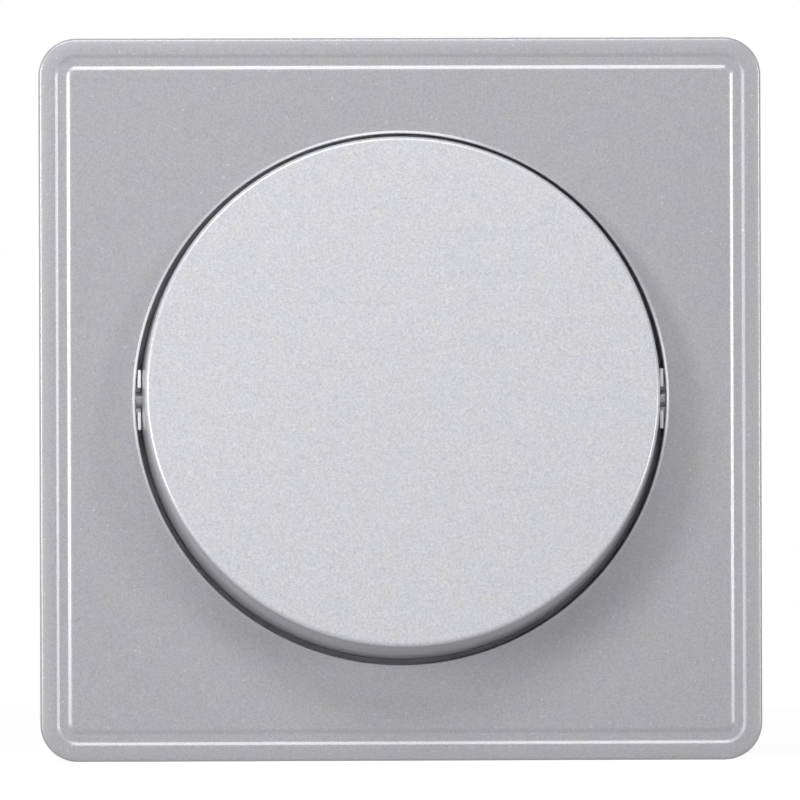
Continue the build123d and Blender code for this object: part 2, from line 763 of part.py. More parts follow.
def insert_base():
    """The moulded base of the switch insert with its contact well and terminal chambers."""
    body = rounded_block(insert_side, insert_side, insert_corner_radius, insert_back, plate_back)
    body = chamfer(body.edges().group_by(Axis.Z)[0], insert_corner_radius / 4)
    upper_floor = fixed_contact_level() - contact_height - strip_thickness
    body -= block(-well_half_width, well_half_width, -well_half_height, well_half_height,
                  upper_floor, plate_back + overlap)
    slit_half = strip_width / 2 + strip_clearance
    trench_reach = contact_reach - strip_width / 2 - 2 * strip_clearance
    body -= block(-well_half_width, well_half_width, -trench_reach, trench_reach, well_floor, plate_back)
    for side, y, top in terminals():
        outer = side * (insert_side / 2 + overlap)
        inner = side * (insert_side / 2 - chamber_depth)
        level = tab_screw_level(top)
        chamber_low = level - chamber_height / 2
        chamber_high = max(level + chamber_height / 2, top + strip_clearance)
        body -= block(min(outer, inner), max(outer, inner), y - chamber_width / 2,
                      y + chamber_width / 2, chamber_low, min(chamber_high, plate_back - chamber_roof))
        near, far = terminal_tab(side)
        body -= block(min(0, far), max(0, far), y - slit_half, y + slit_half,
                      top - strip_thickness, top + strip_clearance)
        bolt_near = side * (insert_side / 2 - chamber_depth - 2 * terminal_screw_past_tab)
        body -= Pos((bolt_near + inner) / 2, y, level) * Rot(0, 90, 0) * Cylinder(
            terminal_screw_radius + hole_clearance, abs(bolt_near - inner) + overlap)
        wire_x = side * (screw_seat() - clamp_thickness - wire_hole_radius)
        body -= post(wire_x, y, wire_hole_radius, insert_back - overlap, level)
    for side in (-1, 1):
        body -= post(0, side * cover_screw_reach, cover_screw_radius + screw_clearance,
                     plate_back - cover_screw_hole_depth, plate_back + overlap)
    return body


def insert_cover():
    """The front cover of the insert, with a round opening for the rocker's sleeve."""
    top = plate_front + cover_thickness
    cover = rounded_block(cover_width, cover_height, cover_corner_radius, plate_front, top)
    cover = chamfer(cover.edges().group_by(Axis.Z)[-1], cover_chamfer)
    spigot_side = plate_window - 2 * cover_spigot_clearance
    cover += rounded_block(spigot_side, spigot_side, plate_window_radius, plate_back,
                           plate_front + overlap)
    cover += post(0, 0, cover_opening_radius + cover_collar_wall, plate_front, top + cover_collar_height)
    cover -= block(-well_half_width, well_half_width, -well_half_height, well_half_height,
                   plate_back - overlap, plate_front)
    cover -= post(0, 0, cover_opening_radius, plate_back - overlap, top + cover_collar_height + overlap)
    for side in (-1, 1):
        cover -= post(0, side * cover_screw_reach, cover_screw_radius + screw_clearance,
                      plate_back - overlap, top + overlap)
    return cover


def cover_screws():
    """The two screws that clamp the cover and the base on the support plate."""
    length = cover_thickness + plate_thickness + cover_screw_hole_depth - cover_screw_end_gap
    screw = slotted_screw(cover_screw_radius, length, cover_screw_head_radius, cover_screw_head_height)
    seat = plate_front + cover_thickness
    return Compound([Pos(0, side * cover_screw_reach, seat) * Rot(0, 0, turn) * screw
                     for side, turn in zip((1, -1), cover_screw_turns)])


def on_rocker(piece):
    """Place a piece of the rocker on its axis, with the top pressed in."""
    return Pos(0, 0, axis_level) * Rot(-rocker_tilt, 0, 0) * piece


def on_seesaw(piece):
    """Place a piece of the contact seesaw on its fulcrum, with the lower arm down."""
    return Pos(0, 0, pivot_level) * Rot(seesaw_tilt, 0, 0) * piece


def build():
    """Write every piece of the switch to its own file."""
    os.makedirs("parts", exist_ok=True)
    save(surface_box(), "surface_box")
    save(grommet(1, True), "cable_grommet")
    save(grommet(-1, False), "blind_grommet")
    save(support_plate(), "support_plate")
    save(plate_screws(), "plate_screws")
    save(cover_frame(), "cover_frame")
    save(bearing_ring(), "bearing_ring")
    save(bearing_clip(-1), "bearing_clip_left")
    save(bearing_clip(1), "bearing_clip_right")
    save(on_rocker(rocker_cap()), "rocker_cap")
    save(on_rocker(plunger()), "plunger")
    save(on_rocker(plunger_spring()), "plunger_spring")
    save(on_seesaw(contact_rocker()), "contact_rocker")
    for side, name in ((1, "upper"), (-1, "lower")):
        save(on_seesaw(moving_contact(side)), "moving_contact_" + name)
        save(fixed_contact(side), "fixed_contact_" + name)
        save(contact_terminal(side), "contact_terminal_" + name)
    save(common_terminal(), "common_terminal")
    save(terminal_screws(), "terminal_screws")
    save(clamp_plates(), "clamp_plates")
    save(insert_base(), "insert_base")
    save(insert_cover(), "insert_cover")
    save(cover_screws(), "cover_screws")


build()
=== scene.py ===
"""Looks of a surface-mounted light switch with a round rocker in a square cover frame.

Pieces are modelled in millimetres, lying on their backs: x to the right, y up the wall and z out of
the wall. Shape.finish stands them up, in metres, in the CAD model's frame.
"""
import logging
from dataclasses import dataclass
from enum import Enum
from math import atan2, cos, degrees, pi, radians, sin, tan
from typing import Any, Callable, Optional, Sequence, Union

import bmesh
import bpy
from mathutils import Matrix, Vector


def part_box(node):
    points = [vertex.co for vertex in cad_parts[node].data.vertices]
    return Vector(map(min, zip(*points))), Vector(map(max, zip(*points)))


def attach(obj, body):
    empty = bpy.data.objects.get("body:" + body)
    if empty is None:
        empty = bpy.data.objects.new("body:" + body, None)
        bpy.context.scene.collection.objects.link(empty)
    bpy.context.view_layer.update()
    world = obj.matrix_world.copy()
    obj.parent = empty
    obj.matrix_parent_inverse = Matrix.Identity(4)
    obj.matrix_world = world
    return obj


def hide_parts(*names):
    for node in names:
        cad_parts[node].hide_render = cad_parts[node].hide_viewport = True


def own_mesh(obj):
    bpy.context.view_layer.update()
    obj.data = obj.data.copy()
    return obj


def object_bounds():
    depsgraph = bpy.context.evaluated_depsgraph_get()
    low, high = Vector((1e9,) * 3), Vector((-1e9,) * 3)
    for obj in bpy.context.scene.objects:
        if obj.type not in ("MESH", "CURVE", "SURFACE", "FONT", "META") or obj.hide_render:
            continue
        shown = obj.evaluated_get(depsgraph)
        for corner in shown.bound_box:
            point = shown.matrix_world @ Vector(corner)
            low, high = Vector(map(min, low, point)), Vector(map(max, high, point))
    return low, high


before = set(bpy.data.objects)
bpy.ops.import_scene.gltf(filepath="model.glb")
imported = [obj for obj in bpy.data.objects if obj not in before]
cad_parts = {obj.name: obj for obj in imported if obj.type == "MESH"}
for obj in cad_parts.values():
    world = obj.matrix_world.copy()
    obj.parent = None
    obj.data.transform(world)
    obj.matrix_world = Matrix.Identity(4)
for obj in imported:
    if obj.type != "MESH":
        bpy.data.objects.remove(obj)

LOG = logging.getLogger("switch")
MM = 0.001
CAD_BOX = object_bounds()
WHITE = (1.0, 1.0, 1.0, 1.0)
Colour = tuple[float, float, float]
Place = tuple[float, float, float]
Point = tuple[float, float]
Test = Callable[[Vector], bool]


class Body(str, Enum):
    """The bodies of the switch that pieces ride on."""

    HOUSING = "housing"
    ROCKER = "rocker"


class Sock:
    """One output of a shader node, which takes part in sums as a number does."""

    def __init__(self, nodes: "Nodes", node: bpy.types.ShaderNode,
                 which: Union[int, str] = 0) -> None:
        """Hold one output.

        Args:
            nodes: The nodes that its node belongs to.
            node: The node.
            which: The output's number or name.
        """
        self.nodes = nodes
        self.node = node
        self.which = which

    def out(self, which: Union[int, str]) -> "Sock":
        """Give another output of the same node, by number or name."""
        return Sock(self.nodes, self.node, which)

    def _math(self, operation: str, other: Any) -> "Sock":
        """Add one Math node that works on this value and another.

        Args:
            operation: The node's operation.
            other: The other value or link.

        Returns:
            The node's result.
        """
        return self.nodes.node("ShaderNodeMath", {"operation": operation}, {0: self, 1: other})

    def __add__(self, other: Any) -> "Sock":
        """Add."""
        return self._math("ADD", other)

    def __sub__(self, other: Any) -> "Sock":
        """Subtract."""
        return self._math("SUBTRACT", other)

    def __mul__(self, other: Any) -> "Sock":
        """Multiply."""
        return self._math("MULTIPLY", other)

    def largest(self, other: Any) -> "Sock":
        """Give the larger of two values."""
        return self._math("MAXIMUM", other)

    def below(self, other: Any) -> "Sock":
        """Give one where this value is below another."""
        return self._math("LESS_THAN", other)

    def step(self, low: float, high: float) -> "Sock":
        """Rise smoothly from zero to one between two values.

        Args:
            low: Where it starts to rise.
            high: Where it has reached one.

        Returns:
            The smooth step.
        """
        settings = {"interpolation_type": "SMOOTHSTEP"}
        values = {"Value": self, "From Min": low, "From Max": high}
        return self.nodes.node("ShaderNodeMapRange", settings, values)


class Nodes:
    """The nodes of one material or of the world."""

    def __init__(self, owner: Union[bpy.types.Material, bpy.types.World]) -> None:
        """Start without nodes.

        Args:
            owner: The material or world.
        """
        owner.use_nodes = True
        self.tree = owner.node_tree
        self.tree.nodes.clear()

    def node(self, kind: str, settings: Optional[dict[str, Any]] = None,
             values: Optional[dict[Union[int, str], Any]] = None) -> Sock:
        """Add any node.

        Args:
            kind: The node's type.
            settings: Attributes that are set first.
            values: Numbers, colours or links of its inputs, by name or number.

        Returns:
            Its first output.
        """
        made = self.tree.nodes.new(kind)
        for key, value in (settings or {}).items():
            setattr(made, key, value)
        for key, value in (values or {}).items():
            if isinstance(value, Sock):
                self.tree.links.new(value.node.outputs[value.which], made.inputs[key])
            else:
                made.inputs[key].default_value = value
        return Sock(self, made)

    def seen_rays(self) -> Sock:
        """Tell rays that show a surface from rays that only light others.

        Returns:
            One for rays of the camera, of reflections and through glass.
        """
        path = self.node("ShaderNodeLightPath")
        mirrored = path.out("Is Glossy Ray").largest(path.out("Is Transmission Ray"))
        return path.out("Is Camera Ray").largest(mirrored)


class Finish(Nodes):
    """The nodes of one material."""

    def __init__(self, name: str) -> None:
        """Start an empty material.

        Args:
            name: The material's name.
        """
        self.material = bpy.data.materials.new(name)
        super().__init__(self.material)

    def place(self) -> Sock:
        """Give the place on the piece, in millimetres.

        Returns:
            Object coordinates times a thousand.
        """
        spot = self.node("ShaderNodeTexCoord").out("Object")
        values = {0: spot, "Scale": 1 / MM}
        return self.node("ShaderNodeVectorMath", {"operation": "SCALE"}, values)

    def noise(self, place: Sock, size: float, detail: float = 2.0, rough: float = 0.5) -> Sock:
        """Add a noise pattern.

        Args:
            place: The place in millimetres.
            size: The size of its blotches in millimetres.
            detail: Its octaves.
            rough: How strong the finer octaves are.

        Returns:
            The noise value.
        """
        values = {"Vector": place, "Scale": 1 / size, "Detail": detail, "Roughness": rough}
        return self.node("ShaderNodeTexNoise", None, values)

    def relief(self, height: Sock, strength: float, depth: float) -> Sock:
        """Raise and lower the surface by a pattern.

        Args:
            height: The pattern.
            strength: How strongly it shows.
            depth: Its depth in millimetres.

        Returns:
            The new normal.
        """
        values = {"Strength": strength, "Distance": depth * MM, "Height": height}
        return self.node("ShaderNodeBump", None, values)

    def mix(self, factor: Union[Sock, float], first: Any, second: Any) -> Sock:
        """Mix two colours.

        Args:
            factor: How much of the second.
            first: A colour or a link.
            second: A colour or a link.

        Returns:
            The mixed colour.
        """
        first, second = ((*colour, 1.0) if isinstance(colour, tuple) else colour
                         for colour in (first, second))
        values = {0: factor, 6: first, 7: second}
        return self.node("ShaderNodeMix", {"data_type": "RGBA"}, values).out(2)

    def close(self, values: dict[str, Any]) -> bpy.types.Material:
        """Add the surface shader and the output.

        Args:
            values: Numbers, colours or links of the Principled BSDF.

        Returns:
            The finished material.
        """
        shader = self.node("ShaderNodeBsdfPrincipled", None, values)
        self.node("ShaderNodeOutputMaterial", None, {"Surface": shader})
        return self.material


def grey(level: float, cool: float = 0.0) -> Colour:
    """Give a grey, a little cool where asked.

    Args:
        level: The linear brightness.
        cool: How much bluer than neutral it is.

    Returns:
        The linear colour.
    """
    return (level * (1 - cool / 2), level * (1 - cool / 2), level * (1 + cool))


@dataclass(frozen=True)
class MetallicLacquer:
    """A satin lacquer with fine metal flakes, as on the frame and the rocker."""

    name: str
    level: float
    cool: float = 0.06
    metallic: float = 0.25
    roughness: float = 0.42
    roughness_range: float = 0.12
    coat: float = 0.7
    coat_roughness: float = 0.15
    coat_ior: float = 1.65
    grain: float = 0.19
    grain_size: float = 0.16
    mottle: float = 0.03
    mottle_size: float = 1.1
    tint_size: float = 2.6
    tint_share: float = 0.5
    speck: float = 0.22
    speck_size: float = 0.5
    speck_share: float = 0.035
    speck_reach: float = 0.22
    bump: float = 0.12
    bump_depth: float = 0.02

    def tones(self, finish: Finish, tone: Sock, cool: float) -> Sock:
        """Spread one tint of the lacquer from half to one and a half times its level.

        Args:
            finish: The material's nodes.
            tone: Where each spot stands between dark and light.
            cool: How cool the tint is.

        Returns:
            The colour.
        """
        return finish.mix(tone, grey(self.level * 0.5, cool), grey(self.level * 1.5, cool))

    def make(self) -> bpy.types.Material:
        """Build the material.

        Returns:
            The material.
        """
        finish = Finish(self.name)
        place = finish.place()
        fine = finish.noise(place, self.grain_size, 2.0, 0.7)
        broad = finish.noise(place, self.mottle_size, 2.0, 0.5)
        tone = (fine - 0.5) * (4 * self.grain) + (broad - 0.5) * (2 * self.mottle) + 0.5
        tint = finish.noise(place, self.tint_size, 3.0, 0.6).step(0.35, 0.65)
        base = finish.mix(tint * self.tint_share, self.tones(finish, tone, self.cool),
                          self.tones(finish, tone, -self.cool / 2))
        cells = finish.node("ShaderNodeTexVoronoi", None,
                            {"Vector": place, "Scale": 1 / self.speck_size})
        chosen = finish.node("ShaderNodeSeparateColor", None, {0: cells.out("Color")})
        flake = cells.out("Distance").below(self.speck_reach) * chosen.below(self.speck_share)
        base = finish.mix(flake * self.speck, base, grey(1.0, self.cool / 2))
        return finish.close({
            "Base Color": base, "Metallic": self.metallic,
            "Roughness": (fine - 0.5) * self.roughness_range + self.roughness,
            "Coat Weight": self.coat, "Coat Roughness": self.coat_roughness,
            "Coat IOR": self.coat_ior,
            "Normal": finish.relief(fine, self.bump, self.bump_depth)})


@dataclass(frozen=True)
class Moulding:
    """A moulded plastic or rubber with a fine spark-eroded grain."""

    name: str
    colour: Colour
    roughness: float = 0.55
    roughness_range: float = 0.15
    grain_size: float = 0.35
    grain: float = 0.25
    grain_depth: float = 0.05
    shade: float = 0.05
    cloud_size: float = 9.0

    def make(self) -> bpy.types.Material:
        """Build the material.

        Returns:
            The material.
        """
        finish = Finish(self.name)
        place = finish.place()
        grain = finish.noise(place, self.grain_size, 3.0, 0.6)
        cloud = finish.noise(place, self.cloud_size, 3.0, 0.5)
        dark = tuple(c * (1 - self.shade) for c in self.colour)
        light = tuple(c * (1 + self.shade) for c in self.colour)
        base = finish.mix(cloud.step(0.3, 0.7), dark, light)
        return finish.close({
            "Base Color": base, "Roughness": (grain - 0.5) * self.roughness_range + self.roughness,
            "Normal": finish.relief(grain, self.grain, self.grain_depth)})


@dataclass(frozen=True)
class Metal:
    """A stamped or turned metal with fine drawn lines and a faint bloom."""

    name: str
    colour: Colour
    roughness: float = 0.34
    roughness_range: float = 0.2
    lines: tuple[float, float, float] = (6.0, 0.4, 6.0)
    line_strength: float = 0.15
    line_depth: float = 0.02
    bloom: float = 0.12
    bloom_size: float = 4.0

    def make(self) -> bpy.types.Material:
        """Build the material.

        Returns:
            The material.
        """
        finish = Finish(self.name)
        place = finish.place()
        drawn_place = finish.node("ShaderNodeVectorMath", {"operation": "MULTIPLY"},
                                  {0: place, 1: self.lines})
        drawn = finish.noise(drawn_place, 1.0, 4.0, 0.6)
        cloud = finish.noise(place, self.bloom_size, 4.0, 0.6)
        dull = tuple(c * (1 - self.bloom) for c in self.colour)
        base = finish.mix(cloud.step(0.35, 0.7), self.colour, dull)
        rough = (drawn - 0.5) * self.roughness_range + cloud * self.bloom + self.roughness
        return finish.close({
            "Base Color": base, "Metallic": 1.0, "Roughness": rough,
            "Normal": finish.relief(drawn, self.line_strength, self.line_depth)})


FRAME_LACQUER = MetallicLacquer("silver grey lacquer", 0.41)
ROCKER_LACQUER = MetallicLacquer("bright silver lacquer", 0.6, grain_size=0.24, speck=0.08)
BOX_LACQUER = MetallicLacquer("box lacquer", 0.41, roughness=0.5, coat=0.3, coat_roughness=0.4,
                              grain=0.04, speck=0.05, bump=0.3)
BLACK_RUBBER = Moulding("black rubber", (0.035, 0.035, 0.037), 0.7)
DARK_MOULDING = Moulding("dark moulding", (0.12, 0.12, 0.125), 0.5)
WHITE_ACETAL = Moulding("white acetal", (0.93, 0.93, 0.92), 0.4, grain=0.1, shade=0.02)
PALE_BASE = Moulding("pale base moulding", (0.66, 0.66, 0.64), 0.45)
PALE_COVER = Moulding("pale cover moulding", (0.74, 0.74, 0.72), 0.5)
ZINC = Metal("zinc plate", (0.62, 0.63, 0.65))
SCREW_ZINC = Metal("zinc screw", (0.66, 0.66, 0.67), 0.28)
SPRING_STEEL = Metal("spring wire", (0.5, 0.5, 0.52), 0.3)
BRASS = Metal("stamped brass", (0.78, 0.58, 0.27), 0.3)
SILVER = Metal("silver contact", (0.86, 0.86, 0.84), 0.25)

NODE_FINISHES = {
    BOX_LACQUER: ("surface_box",),
    BLACK_RUBBER: ("cable_grommet", "blind_grommet"),
    DARK_MOULDING: ("bearing_ring",),
    WHITE_ACETAL: ("plunger",),
    PALE_BASE: ("insert_base",),
    PALE_COVER: ("insert_cover",),
    ZINC: ("support_plate", "clamp_plates"),
    BRASS: ("contact_rocker", "common_terminal", "contact_terminal_upper",
            "contact_terminal_lower"),
    SILVER: ("fixed_contact_upper", "fixed_contact_lower", "moving_contact_upper",
             "moving_contact_lower"),
}


def dress_nodes() -> None:
    """Give every CAD node that is shown its finish."""
    for recipe, names in NODE_FINISHES.items():
        material = recipe.make()
        for name in names:
            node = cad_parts[name]
            node.data.materials.clear()
            node.data.materials.append(material)
            LOG.info("%s is finished in %s", name, recipe.name)


class Kind(Enum):
    """What a selection takes."""

    VERTEX = (True, False, False)
    EDGE = (False, True, False)
    FACE = (False, False, True)


# How near counts as on a plane, how near as equal, and how straight as along an axis; and how
# far out cutting shapes start and end.
NEAR = 1e-3
TINY = 1e-4
STRAIGHT = 0.99
CUTTER_NEAR = 20.0
CUTTER_FAR = 40.0
STAND = Matrix.Rotation(radians(90), 4, "X")
TO_METRES = Matrix.Scale(MM, 4)
AXIS_LEVEL = 43.8
ROCKER_TILT = -8.0
HOUSING_PLACE = Matrix.Identity(4)
ROCKER_PLACE = (Matrix.Translation((0, 0, AXIS_LEVEL))
                @ Matrix.Rotation(radians(ROCKER_TILT), 4, "X"))


class Shape:
    """A piece while it is modelled: in millimetres, lying on its back, z out of the wall."""

    def __init__(self, name: str) -> None:
        """Take up the primitive that was just added.

        Args:
            name: The piece's name.
        """
        self.piece = bpy.context.object
        self.piece.name = name
        self.piece.data.name = name

    @staticmethod
    def clear() -> None:
        """Leave edit mode and deselect everything."""
        if bpy.context.object and bpy.context.object.mode != "OBJECT":
            bpy.ops.object.mode_set(mode="OBJECT")
        bpy.ops.object.select_all(action="DESELECT")

    @classmethod
    def plate(cls, name: str, side: float, corner: float, level: float, segments: int) -> "Shape":
        """Start from a plane with rounded corners.

        Args:
            name: The piece's name.
            side: The length of its sides.
            corner: The radius of its corners.
            level: Its height.
            segments: The steps round each corner.

        Returns:
            The shape, in edit mode with its face selected.
        """
        cls.clear()
        bpy.ops.mesh.primitive_plane_add(size=side, location=(0, 0, level))
        shape = cls(name)
        bpy.ops.object.transform_apply()
        shape.edit()
        bpy.ops.mesh.select_all(action="SELECT")
        bpy.ops.mesh.bevel(offset=corner, segments=segments, affect="VERTICES")
        bpy.ops.mesh.select_all(action="SELECT")
        return shape

    @classmethod
    def block(cls, name: str, low: Sequence[float], high: Sequence[float]) -> "Shape":
        """Start from a block between two corners.

        Args:
            name: The piece's name.
            low: Its lowest corner.
            high: Its highest corner.

        Returns:
            The shape, in object mode.
        """
        cls.clear()
        middle = [(a + b) / 2 for a, b in zip(low, high)]
        bpy.ops.mesh.primitive_cube_add(size=1, location=middle)
        bpy.context.object.scale = [b - a for a, b in zip(low, high)]
        shape = cls(name)
        bpy.ops.object.transform_apply()
        return shape

    @classmethod
    def turned(cls, name: str, outline: Sequence[Point], steps: int) -> "Shape":
        """Turn an outline of radii and levels about the z axis.

        Args:
            name: The piece's name.
            outline: Points as radius and level.
            steps: The steps of a whole turn.

        Returns:
            The shape, in object mode.
        """
        cls.clear()
        start = Vector((outline[0][0], 0, outline[0][1]))
        bpy.ops.mesh.primitive_plane_add(size=1, location=start)
        shape = cls(name)
        bpy.ops.object.transform_apply()
        shape.edit()
        bpy.context.tool_settings.mesh_select_mode = Kind.VERTEX.value
        bpy.ops.mesh.select_all(action="SELECT")
        bpy.ops.mesh.merge(type="CENTER")
        previous = start
        for radius, level in outline[1:]:
            point = Vector((radius, 0, level))
            bpy.ops.mesh.extrude_vertices_move(TRANSFORM_OT_translate={"value": point - previous})
            previous = point
        bpy.ops.mesh.select_all(action="SELECT")
        bpy.ops.mesh.spin(steps=steps, angle=2 * pi, center=(0, 0, 0), axis=(0, 0, 1))
        shape.seal()
        return shape

    @classmethod
    def wound(cls, name: str, section: Sequence[Point], turns: int, pitch: float,
              steps: int) -> "Shape":
        """Wind a closed section round the z axis as a helix with closed ends.

        Args:
            name: The piece's name.
            section: The section's points in order, as radius and level.
            turns: The turns it makes.
            pitch: How far it rises in each turn.
            steps: The steps of one turn.

        Returns:
            The shape, in object mode.
        """
        cls.clear()
        bpy.ops.mesh.primitive_circle_add(vertices=len(section), rotation=(radians(90), 0, 0))
        shape = cls(name)
        bpy.ops.object.transform_apply()
        corners = shape.piece.data.vertices
        for vertex, (radius, level) in zip(corners, section):
            vertex.co = (radius, 0, level)
        helix = shape.piece.modifiers.new("helix", "SCREW")
        helix.angle = 2 * pi
        helix.iterations = turns
        helix.screw_offset = pitch
        helix.steps = helix.render_steps = steps
        bpy.ops.object.modifier_apply(modifier=helix.name)
        shape.edit()
        shape.seal(len(section))
        return shape

    def seal(self, end_sides: int = 0) -> None:
        """Merge doubles, close open ends, point the faces outwards and leave edit mode.

        Args:
            end_sides: The sides of the open ends, 0 where there are none.
        """
        bpy.ops.mesh.select_all(action="SELECT")
        bpy.ops.mesh.remove_doubles(threshold=TINY)
        if end_sides:
            bpy.ops.mesh.fill_holes(sides=end_sides)
            bpy.ops.mesh.select_all(action="SELECT")
        bpy.ops.mesh.normals_make_consistent(inside=False)
        self.clear()

    def take_up(self) -> None:
        """Make this piece the active one, selected alone, in object mode."""
        self.clear()
        bpy.context.view_layer.objects.active = self.piece
        self.piece.select_set(True)

    def edit(self) -> None:
        """Go into edit mode on this piece alone."""
        self.take_up()
        bpy.ops.object.mode_set(mode="EDIT")

    def choose(self, kind: Kind, test: Test, way: Optional[Test] = None,
               open_only: bool = False) -> int:
        """Select parts of the mesh by their middle and their direction.

        Args:
            kind: Vertices, edges or faces.
            test: Says whether a middle is wanted.
            way: Says whether a face's normal or an edge's direction is wanted.
            open_only: Whether only edges of the mesh's open borders are taken.

        Returns:
            How many were selected.
        """
        bpy.context.tool_settings.mesh_select_mode = kind.value
        bpy.ops.mesh.select_all(action="DESELECT")
        mesh = bmesh.from_edit_mesh(self.piece.data)
        count = 0
        groups = {Kind.VERTEX: mesh.verts, Kind.EDGE: mesh.edges, Kind.FACE: mesh.faces}
        for item in groups[kind]:
            if kind is Kind.FACE:
                middle, along = item.calc_center_median(), item.normal
            elif kind is Kind.EDGE:
                middle = (item.verts[0].co + item.verts[1].co) / 2
                along = item.verts[1].co - item.verts[0].co
            else:
                middle, along = item.co, item.normal
            if open_only and not item.is_boundary:
                continue
            if test(middle) and (way is None or way(along)):
                item.select_set(True)
                count += 1
        bmesh.update_edit_mesh(self.piece.data)
        return count

    def extrude(self, rise: float, scale: float = 1.0) -> None:
        """Extrude the selected face along z and scale it about the axis.

        Args:
            rise: How far it goes.
            scale: How much it grows in x and y.
        """
        bpy.ops.mesh.extrude_region_move(TRANSFORM_OT_translate={"value": (0, 0, rise)})
        if scale != 1.0:
            bpy.ops.transform.resize(value=(scale, scale, 1), center_override=(0, 0, 0))

    def ring_to(self, before: Point, after: Point) -> None:
        """Extrude the selected circle of edges to another radius and level.

        Args:
            before: The radius and level it has.
            after: The radius and level it gets.
        """
        rise = (0, 0, after[1] - before[1])
        bpy.ops.mesh.extrude_edges_move(TRANSFORM_OT_translate={"value": rise})
        grow = after[0] / before[0]
        if abs(grow - 1) > 1e-6:
            bpy.ops.transform.resize(value=(grow, grow, 1), center_override=(0, 0, 0))

    def bevel(self, width: float, steps: int) -> None:
        """Round the selected edges.

        Args:
            width: How far the rounding reaches on each side.
            steps: Its steps.
        """
        bpy.ops.mesh.bevel(offset=width, offset_type="OFFSET", segments=steps, affect="EDGES",
                           clamp_overlap=False)

    def combine(self, other: "Shape", how: str) -> None:
        """Cut another shape out of this one, or fuse it on, and use it up.

        Args:
            other: The other shape.
            how: DIFFERENCE or UNION.
        """
        self.take_up()
        modifier = self.piece.modifiers.new("combine", "BOOLEAN")
        modifier.operation = how
        modifier.object = other.piece
        modifier.solver = "EXACT"
        bpy.ops.object.modifier_apply(modifier=modifier.name)
        used = other.piece.data
        bpy.data.objects.remove(other.piece)
        bpy.data.meshes.remove(used)

    def turn(self, angle: float, axis: str = "Z") -> "Shape":
        """Turn the whole shape about an axis through the origin.

        Args:
            angle: The angle in degrees.
            axis: The axis.

        Returns:
            The shape itself.
        """
        self.clear()
        self.piece.data.transform(Matrix.Rotation(radians(angle), 4, axis))
        return self

    def shift(self, x: float, y: float, z: float) -> None:
        """Move the whole shape to the right, up the wall and out of the wall."""
        self.clear()
        self.piece.data.transform(Matrix.Translation((x, y, z)))

    def join(self, others: Sequence["Shape"]) -> None:
        """Make other shapes part of this one.

        Args:
            others: The other shapes.
        """
        self.take_up()
        for other in others:
            other.piece.select_set(True)
        bpy.ops.object.join()

    def finish(self, body: Body, replaced: str, slot: str, material: bpy.types.Material,
               place: Matrix = HOUSING_PLACE, smooth: float = 30.0) -> bpy.types.Object:
        """Stand the piece up at its place, in metres, and hand it to its body.

        Args:
            body: The body it rides on.
            replaced: The CAD node it stands for.
            slot: The record's material slot; not used.
            material: Its finish.
            place: Its place while lying on its back.
            smooth: The angle in degrees below which edges look smooth.

        Returns:
            The finished object.
        """
        self.take_up()
        self.piece.data.transform(TO_METRES @ STAND @ place)
        self.piece.data.materials.clear()
        self.piece.data.materials.append(material)
        bpy.ops.object.shade_smooth_by_angle(angle=radians(smooth))
        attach(self.piece, body.value)
        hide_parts(replaced)
        LOG.info("%s: %d faces on %s", self.piece.name, len(self.piece.data.polygons), body.value)
        return self.piece


def arc(centre: Point, radius: float, start: float, end: float, steps: int) -> list[Point]:
    """Give points on an arc.

    Args:
        centre: Its middle.
        radius: Its radius.
        start: The angle at which it starts, in degrees.
        end: The angle at which it ends, in degrees.
        steps: Its steps.

    Returns:
        The points, both ends among them.
    """
    turns = [radians(start + (end - start) * k / steps) for k in range(steps + 1)]
    return [(centre[0] + radius * cos(t), centre[1] + radius * sin(t)) for t in turns]


